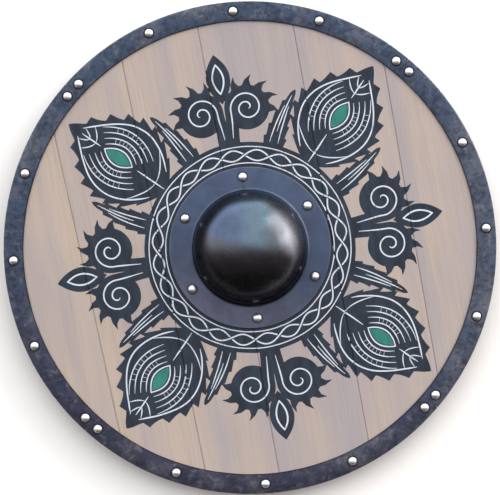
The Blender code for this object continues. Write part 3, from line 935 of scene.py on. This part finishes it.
def make_rim_segment(number, tree, material, sizes):
    """A quarter of the rim: strip folded round the boards' edge."""
    start = RIM_JOINT_DEGREES[number]
    end = RIM_JOINT_DEGREES[(number + 1) % SEGMENTS] + (360 if number + 1 == SEGMENTS else 0)
    gap = math.degrees(sizes.rim_joint / OUTER_RADIUS)
    bm = bmesh.new()
    ring = [bm.verts.new((x, -y, 0.0)) for x, y in rim_profile(sizes)]
    for j in range(len(ring)):
        bm.edges.new((ring[j - 1], ring[j]))
    values = {
        "Radius": OUTER_RADIUS,
        "Start": math.radians(start + gap / 2),
        "Sweep": math.radians(end - start - gap),
        "Width": sizes.rim_width,
        "Waver": sizes.rim_waver,
        "Material": material,
    }
    return grow(f"dressed_rim_segment_{number + 1}", bm, tree, values, 35)


def boss_profile(sizes):
    """The boss's section from the top of the dome round the flange's edge and back inside."""
    flange_front = FLANGE_BACK + sizes.boss_steel
    root_height = flange_front + sizes.dome_root
    rise = DOME_TOP - root_height
    outside = []
    for angle in (math.pi / 2 * i / 56 for i in range(57)):
        outside.append(Vector((sizes.dome_radius * math.sin(angle), root_height + rise * math.cos(angle))))
    for angle in (math.pi / 2 * i / 8 for i in range(1, 9)):
        radius = sizes.dome_radius + sizes.dome_root * (1 - math.cos(angle))
        outside.append(Vector((radius, root_height - sizes.dome_root * math.sin(angle))))
    inside = []
    for i, point in enumerate(outside):
        along = outside[min(i + 1, len(outside) - 1)] - outside[max(i - 1, 0)]
        inside.append(point - Vector((-along.y, along.x)).normalized() * sizes.boss_steel)
    inside[0].x = 0.0
    corner, below = (FLANGE_RADIUS, flange_front), (FLANGE_RADIUS, FLANGE_BACK)
    edge = rounded_corner(outside[-1], corner, below, sizes.cut_edge * 1.5)
    return outside + edge + [Vector(below)] + inside[::-1]


def make_boss(material, sizes):
    """The domed boss, raised from sheet: faint hammered hollows stay in the dome."""
    profile = boss_profile(sizes)
    sides = 144
    bm = bmesh.new()
    rings = []
    for i in range(sides):
        ring = []
        for point in profile:
            place = polar(point.x, 360 * i / sides, point.y)
            height = ease((point.y - FLANGE_BACK) / 0.02)
            hollow = (noise.noise(place * 48) - 0.5) * sizes.boss_hollows * height
            outward = Vector((place.x, place.y, 0.0)) / sizes.dome_radius
            ring.append(bm.verts.new(place + (outward + Vector((0, 0, 0.4))) * hollow))
        rings.append(ring)
    for ring, onward in zip(rings, rings[1:] + rings[:1]):
        for j in range(len(profile) - 1):
            bm.faces.new((ring[j], ring[j + 1], onward[j + 1], onward[j]))
    for j in (0, -1):
        top = Vector((0, 0, rings[0][j].co.z))
        bmesh.ops.pointmerge(bm, verts=[ring[j] for ring in rings], merge_co=top)
    boss = piece_from("dressed_boss", bm, material)
    smooth_by_angle(boss, 40)
    return boss


# Grip and battens
def cut_screw_seats(bar, group, sizes):
    """Sinks a round seat for each screw's head into the bar's back."""
    bm = bmesh.new()
    depth = sizes.screw_sink * 1.6
    seat = {"radius1": sizes.screw_head * 1.08, "radius2": sizes.screw_head * 0.45, "depth": depth}
    for name in numbered(group, SCREWS_A_BAR):
        where = Matrix.Translation((*middle(name).xy, depth / 4))
        bmesh.ops.create_cone(bm, cap_ends=True, segments=32, matrix=where, **seat)
    cutter = piece_from(group + "_seats", bm, bar.data.materials[0])
    modifier = bar.modifiers.new("Seats", "BOOLEAN")
    modifier.operation = "DIFFERENCE"
    modifier.object = cutter
    freeze(bar)
    bpy.data.objects.remove(cutter)


def make_batten(name, material, sizes):
    """A planed batten with softened edges."""
    low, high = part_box(name)
    bm = bmesh.new()
    stretch = Matrix.Diagonal((*(high - low), 1.0))
    bmesh.ops.create_cube(bm, size=1.0, matrix=Matrix.Translation(middle(name)) @ stretch)
    batten = piece_from("dressed_" + name, bm, material)
    edge = batten.modifiers.new("Edges", "BEVEL")
    edge.width = sizes.bar_edge
    edge.segments = 4
    freeze(batten)
    cut_screw_seats(batten, name + "_screw", sizes)
    return batten


def grip_section(x, half_length, sizes):
    """The grip's section at x: a rectangle with rounded corners, lying on the ground."""
    from_hand = ease((abs(x) - sizes.grip_shoulder + sizes.grip_run_out) / sizes.grip_run_out)
    from_shoulder = max(abs(x) - sizes.grip_shoulder, 0.0) / (half_length - sizes.grip_shoulder)
    width = sizes.grip_hand_width + (sizes.grip_width - sizes.grip_hand_width) * from_hand
    width += (sizes.grip_tip_width - sizes.grip_width) * from_shoulder
    depth = sizes.grip_hand_depth + (BAR_THICKNESS - sizes.grip_hand_depth) * from_hand
    corner = sizes.grip_hand_corner + (sizes.bar_edge - sizes.grip_hand_corner) * from_hand
    half, low, high = width / 2 - corner, corner, depth - corner
    points = []
    for quarter, (y, z) in enumerate(((half, high), (-half, high), (-half, low), (half, low))):
        for angle in (math.pi / 2 * (quarter + step / 6) for step in range(7)):
            points.append(Vector((x, y + corner * math.cos(angle), z + corner * math.sin(angle))))
    return points


def rounded_tip(section, side, half_length, sizes):
    """Two more sections that draw in towards the end of the grip on this side."""
    centre = sum(section, Vector()) / len(section)
    found = []
    for share in (0.5, 1.0):
        drawn = [centre + (point - centre) * (1 - 0.14 * share * share) for point in section]
        for point in drawn:
            point.x = side * (half_length - sizes.bar_edge * (1 - share))
        found.append(drawn)
    return found


def make_grip(material, sizes):
    """The grip: shaved round in the hand, square at its shoulders, tapering to its softened tips."""
    half_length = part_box("grip")[1].x
    straight = half_length - sizes.bar_edge - sizes.grip_shoulder
    stations = [sizes.grip_shoulder * i / 40 for i in range(41)]
    stations += [sizes.grip_shoulder + straight * i / 10 for i in range(1, 11)]
    stations = [-x for x in stations[:0:-1]] + stations
    sections = [grip_section(x, half_length, sizes) for x in stations]
    left = rounded_tip(sections[0], -1, half_length, sizes)
    sections = left[::-1] + sections + rounded_tip(sections[-1], 1, half_length, sizes)
    bm = bmesh.new()
    rings = [[bm.verts.new(point) for point in section] for section in sections]
    for ring, onward in zip(rings, rings[1:]):
        for j in range(len(ring)):
            bm.faces.new((ring[j - 1], ring[j], onward[j], onward[j - 1]))
    bm.faces.new(rings[0])
    bm.faces.new(rings[-1])
    bmesh.ops.recalc_face_normals(bm, faces=bm.faces)
    grip = piece_from("dressed_grip", bm, material)
    cut_screw_seats(grip, "grip_screw", sizes)
    return grip


# Geometry Nodes: the rim's strip, the rivets and the screws
def new_tree(name, *numbers, **others):
    """A geometry tree, add_node for it, and its inputs: geometry, numbers, others and a material."""
    tree = bpy.data.node_groups.new(name, "GeometryNodeTree")
    kinds = {"Geometry": "NodeSocketGeometry", **dict.fromkeys(numbers, "NodeSocketFloat"), **others}
    for label, kind in {**kinds, "Material": "NodeSocketMaterial"}.items():
        tree.interface.new_socket(label, in_out="INPUT", socket_type=kind)
    tree.interface.new_socket("Geometry", in_out="OUTPUT", socket_type="NodeSocketGeometry")
    add = partial(add_node, tree)
    return tree, add, add("NodeGroupInput").node.outputs


def rim_tree():
    """A closed section carried along an arc, its inner edge wandering a little."""
    names = ("Radius", "Start", "Sweep", "Width", "Waver")
    tree, add, given = new_tree("Strip folded round a disc", *names)
    section = add("GeometryNodeMeshToCurve", given["Geometry"])
    arc = add("GeometryNodeCurveArc", 121, *(given[name] for name in names[:3]), mode="RADIUS")
    level = add("GeometryNodeSetCurveNormal", arc, mode="Z_UP")
    strip = add("GeometryNodeCurveToMesh", level, section, **{"Fill Caps": True})
    flat = add(VECTOR, add("GeometryNodeInputPosition"), (1, 1, 0), operation="MULTIPLY")
    inward = add(MINUS, given["Radius"], add(LENGTH, flat))
    share = add(MATH, inward, given["Width"], operation="DIVIDE")
    wave = add(MINUS, add(NOISE, flat, Scale=per_metre(34), Detail=1.0), 0.5)
    wave = add(TIMES, add(TIMES, wave, given["Waver"]), share)
    push = add(SCALED, add(VECTOR, flat, operation="NORMALIZE"), Scale=wave)
    real = add("GeometryNodeRealizeInstances", add("GeometryNodeSetPosition", strip, Offset=push))
    add("NodeGroupOutput", add("GeometryNodeSetMaterial", real, Material=given["Material"]))
    return tree


def dome_in(add, radius, height, sides, rings):
    """A closed round head that stands on z = 0."""
    drum = add("GeometryNodeMeshCylinder", sides, rings, Radius=1.0, Depth=1.0, fill_type="NGON")
    parts = add("ShaderNodeSeparateXYZ", add("GeometryNodeInputPosition")).node.outputs
    angle = add(TIMES, add(PLUS, parts["Z"], 0.5), math.radians(88))
    reach = add(TIMES, add(MATH, angle, operation="COSINE"), radius)
    rise = add(TIMES, add(MATH, angle, operation="SINE"), height)
    place = add(JOINED, add(TIMES, parts["X"], reach), add(TIMES, parts["Y"], reach), rise)
    return add("GeometryNodeSetPosition", drum, Position=place)


def place_and_end(add, given, shapes, dent, dent_size):
    """Puts joined shapes on every point, each turned its own way, dents them and ends the tree."""
    turn = {"Min": (0, 0, 0), "Max": (0, 0, math.tau), "Seed": given["Seed"]}
    turn = add("FunctionNodeRandomValue", data_type="FLOAT_VECTOR", **turn)
    shape = add("GeometryNodeJoinGeometry", shapes)
    placed = add("GeometryNodeInstanceOnPoints", given["Geometry"], Instance=shape, Rotation=turn)
    real = add("GeometryNodeRealizeInstances", placed)
    wave = add(NOISE, add("GeometryNodeInputPosition"), Scale=per_metre(dent_size), Detail=1.0)
    push = add(SCALED, add("GeometryNodeInputNormal"), Scale=add(TIMES, add(MINUS, wave, 1.0), dent))
    dented = add("GeometryNodeSetPosition", real, Offset=push)
    add("NodeGroupOutput", add("GeometryNodeSetMaterial", dented, Material=given["Material"]))


def rivet_tree():
    """Round-headed rivets on points: a head above each point, and a hammered tail below it."""
    names = ("Head Radius", "Head Height", "Tail Radius", "Tail Height", "Held Thickness")
    tree, add, given = new_tree("Round-headed rivets", *names, Seed="NodeSocketInt")
    head = dome_in(add, given["Head Radius"], given["Head Height"], 28, 9)
    tail = dome_in(add, given["Tail Radius"], given["Tail Height"], 18, 4)
    below = add(JOINED, Z=add(TIMES, given["Held Thickness"], -1.0))
    tail = add("GeometryNodeTransform", tail, Translation=below, Rotation=(math.pi, 0, 0))
    place_and_end(add, given, [head, tail], 0.00016, 2.4)
    return tree


def screw_tree():
    """Slotted countersunk screws on points: each head's flat lies at its point and faces down."""
    names = ("Head Radius", "Head Depth", "Slot Width", "Length")
    tree, add, given = new_tree("Slotted screws", *names, Seed="NodeSocketInt")
    depth, radius = given["Head Depth"], given["Head Radius"]
    neck = add(TIMES, radius, 0.42)
    head = add("GeometryNodeMeshCone", 28, 1, 1, neck, radius, depth, fill_type="NGON")
    slot = add(JOINED, add(TIMES, radius, 3.0), given["Slot Width"], add(TIMES, depth, 0.8))
    slot = add("GeometryNodeMeshCube", slot)
    slotted = add("GeometryNodeMeshBoolean", head, [slot], operation="DIFFERENCE")
    body = add("GeometryNodeMeshCone", 12, 1, 1, 0.0002, neck, given["Length"], fill_type="NGON")
    lifted = add(JOINED, Z=add(TIMES, depth, 0.96))
    body = add("GeometryNodeTransform", body, Translation=lifted)
    place_and_end(add, given, [slotted, body], 0.00002, 1.1)
    return tree


def grow(name, bm, tree, values, sharp_degrees):
    """Runs a tree on a starting mesh and keeps its result as a plain piece."""
    piece = piece_from(name, bm, values["Material"])
    modifier = piece.modifiers.new(tree.name, "NODES")
    modifier.node_group = tree
    for item in tree.interface.items_tree:
        if item.in_out == "INPUT" and item.name in values:
            modifier[item.identifier] = values[item.name]
    freeze(piece)
    smooth_by_angle(piece, sharp_degrees)
    return piece


def make_rivets(group, count, seed, tree, material, sizes):
    """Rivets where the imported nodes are, each as long as its node."""
    names = numbered(group, count)
    bm = bmesh.new()
    for name in names:
        bm.verts.new((*middle(name).xy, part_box(name)[1].z - sizes.rivet_rise))
    low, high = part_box(names[0])
    values = {
        "Head Radius": sizes.rivet_head,
        "Head Height": sizes.rivet_rise,
        "Tail Radius": sizes.rivet_tail,
        "Tail Height": sizes.rivet_tail_rise,
        "Held Thickness": high.z - low.z - sizes.rivet_rise - sizes.rivet_tail_rise,
        "Seed": seed,
        "Material": material,
    }
    return grow(f"dressed_{group}s", bm, tree, values, 50)


def make_screws(group, seed, tree, material, sizes):
    """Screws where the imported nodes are, each as long as its node."""
    names = numbered(group, SCREWS_A_BAR)
    low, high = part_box(names[0])
    bm = bmesh.new()
    for name in names:
        bm.verts.new((*middle(name).xy, low.z))
    values = {
        "Head Radius": sizes.screw_head,
        "Head Depth": sizes.screw_sink,
        "Slot Width": sizes.screw_slot,
        "Length": high.z - low.z - sizes.screw_sink,
        "Seed": seed,
        "Material": material,
    }
    return grow(f"dressed_{group}s", bm, tree, values, 50)


# Operators
class ShieldMaker:
    """What the shield's operators share: each makes its own pieces from the settings."""

    def execute(self, context):
        self.make(*settings())
        return {"FINISHED"}


class SHIELD_OT_boards(ShieldMaker, bpy.types.Operator):
    """Make the six limewashed boards with their painted design"""

    bl_idname = "shield.boards"
    bl_label = "Boards"

    def make(self, sizes, colours, design):
        material = limewashed_boards(colours)
        shapes = painted_shapes(design)
        for number in range(BOARDS):
            board = make_board(number, shapes, material, sizes)
            finish_piece(board, [f"board_{number + 1}"])


class SHIELD_OT_rim(ShieldMaker, bpy.types.Operator):
    """Make the four segments of the rim"""

    bl_idname = "shield.rim"
    bl_label = "Rim"

    def make(self, sizes, colours, design):
        material = blackened_rim(colours, sizes)
        tree = rim_tree()
        for number in range(SEGMENTS):
            segment = make_rim_segment(number, tree, material, sizes)
            mark_rivets(segment, "rim_rivet", RIVETS_A_SEGMENT * number + 3)
            finish_piece(segment, [f"rim_segment_{number + 1}"])


class SHIELD_OT_boss(ShieldMaker, bpy.types.Operator):
    """Make the domed boss"""

    bl_idname = "shield.boss"
    bl_label = "Boss"

    def make(self, sizes, colours, design):
        boss = make_boss(blackened_boss(colours, sizes), sizes)
        mark_rivets(boss, "boss_rivet", 1)
        finish_piece(boss, ["boss"])


class SHIELD_OT_rivets(ShieldMaker, bpy.types.Operator):
    """Make the rivets of the rim and the boss"""

    bl_idname = "shield.rivets"
    bl_label = "Rivets"

    def make(self, sizes, colours, design):
        material = polished_rivets(colours)
        tree = rivet_tree()
        groups = (("rim_rivet", SEGMENTS * RIVETS_A_SEGMENT), ("boss_rivet", BOSS_RIVETS))
        for seed, (group, count) in enumerate(groups):
            rivets = make_rivets(group, count, seed, tree, material, sizes)
            finish_piece(rivets, numbered(group, count))


class SHIELD_OT_bars(ShieldMaker, bpy.types.Operator):
    """Make the grip and the two battens"""

    bl_idname = "shield.bars"
    bl_label = "Grip and battens"

    def make(self, sizes, colours, design):
        material = oiled_timber(colours)
        bars = {"grip": make_grip(material, sizes)}
        for name in ("upper_batten", "lower_batten"):
            bars[name] = make_batten(name, material, sizes)
        for number, (name, bar) in enumerate(bars.items()):
            smooth_by_angle(bar, 35)
            mark(bar, board=float(number))
            finish_piece(bar, [name])


class SHIELD_OT_screws(ShieldMaker, bpy.types.Operator):
    """Make the slotted screws of the grip and the battens"""

    bl_idname = "shield.screws"
    bl_label = "Screws"

    def make(self, sizes, colours, design):
        material = plain_screw_steel(colours)
        tree = screw_tree()
        for seed, group in enumerate(("grip_screw", "upper_batten_screw", "lower_batten_screw")):
            screws = make_screws(group, seed, tree, material, sizes)
            finish_piece(screws, numbered(group, SCREWS_A_BAR))


class SHIELD_OT_stage(ShieldMaker, bpy.types.Operator):
    """Set up the floor, the soft studio light and the camera that looks straight down"""

    bl_idname = "shield.stage"
    bl_label = "Studio"

    def make(self, sizes, colours, design):
        add_floor(colours)
        add_room_light()
        add_side_light()
        add_camera()
        bpy.context.scene.view_settings.view_transform = "Standard"


# Studio
def add_floor(colours):
    bm = bmesh.new()
    bmesh.ops.create_circle(bm, cap_ends=True, segments=64, radius=6.0)
    piece_from("studio_floor", bm, studio_paper(colours))


def add_room_light():
    """A pale sky over the picture's upper side and a dim room below it. The camera sees pale paper."""
    world = bpy.data.worlds.new("soft studio")
    world.use_nodes = True
    world.node_tree.nodes.clear()
    add = partial(add_node, world.node_tree)
    place = add("ShaderNodeTexCoord").node.outputs["Generated"]
    side = add(DOT, place, direction(90))
    height = add("ShaderNodeSeparateXYZ", place).node.outputs["Z"]
    sky = add(PLUS, add(EASE, side, -0.22, 0.16, 0.0, 1.7), add(RANGE, side, -0.75, -0.15, 0.06, 0.34))
    strength = add(TIMES, sky, add(EASE, height, 0.42, 0.02, 1.0, 1.5))
    tint = add(BLEND, add(EASE, side, -0.30, 0.10), rgba("f6ded0"), rgba("ffffff"))
    lit = add("ShaderNodeBackground", tint, strength)
    seen = add("ShaderNodeBackground", rgba("f6f6f6"), 1.0)
    straight = add("ShaderNodeLightPath").node.outputs["Is Camera Ray"]
    add("ShaderNodeOutputWorld", add("ShaderNodeMixShader", straight, lit, seen))
    bpy.context.scene.world = world


def add_side_light():
    """A long low window to the picture's upper right, which glints on the dome and the rivets."""
    data = bpy.data.lights.new("side window", "AREA")
    data.shape = "RECTANGLE"
    data.size = 3.0
    data.size_y = 1.9
    data.energy = 62.0
    data.color = rgba("fff3e4")[:3]
    light = bpy.data.objects.new("side_window", data)
    turn = Matrix.Rotation(math.radians(-PICTURE_TURN_DEGREES), 3, "Z")
    towards = (turn @ Vector((0.79, 0.51, 0.40))).normalized()
    light.location = towards * 3.4
    light.rotation_euler = towards.to_track_quat("Z", "Y").to_euler()
    bpy.context.scene.collection.objects.link(light)


def add_camera():
    data = bpy.data.cameras.new("camera")
    data.sensor_width = SENSOR_WIDTH
    data.lens = SENSOR_WIDTH * CAMERA_DISTANCE / PICTURE_WIDTH
    camera = bpy.data.objects.new("camera", data)
    camera.location = (0.0, 0.0, RIM_FRONT + CAMERA_DISTANCE)
    camera.rotation_euler = (0.0, 0.0, math.radians(-PICTURE_TURN_DEGREES))
    bpy.context.scene.collection.objects.link(camera)
    bpy.context.scene.camera = camera


class SHIELD_PT_panel(bpy.types.Panel):
    """Lists the shield's operators and settings"""

    bl_idname = "SHIELD_PT_panel"
    bl_label = "Round Wooden Shield"
    bl_space_type = "VIEW_3D"
    bl_region_type = "UI"
    bl_category = "Shield"

    def draw(self, context):
        for operator in OPERATORS:
            self.layout.operator(operator.bl_idname)
        for group in settings():
            box = self.layout.box()
            for name in type(group).__annotations__:
                box.prop(group, name, text=name.replace("_", " ").capitalize())


OPERATORS = (
    SHIELD_OT_boards,
    SHIELD_OT_rim,
    SHIELD_OT_boss,
    SHIELD_OT_rivets,
    SHIELD_OT_bars,
    SHIELD_OT_screws,
    SHIELD_OT_stage,
)
GROUPS = {"shield_sizes": ShieldSizes, "shield_colours": ShieldColours, "shield_design": ShieldDesign}


def register():
    for cls in (*GROUPS.values(), *OPERATORS, SHIELD_PT_panel):
        bpy.utils.register_class(cls)
    for name, group in GROUPS.items():
        setattr(bpy.types.Scene, name, PointerProperty(type=group))


def unregister():
    for name in GROUPS:
        delattr(bpy.types.Scene, name)
    for cls in reversed((*GROUPS.values(), *OPERATORS, SHIELD_PT_panel)):
        bpy.utils.unregister_class(cls)


def main():
    register()
    bpy.ops.shield.boards()
    bpy.ops.shield.rim()
    bpy.ops.shield.boss()
    bpy.ops.shield.rivets()
    bpy.ops.shield.bars()
    bpy.ops.shield.screws()
    bpy.ops.shield.stage()


if __name__ == "__main__":
    main()
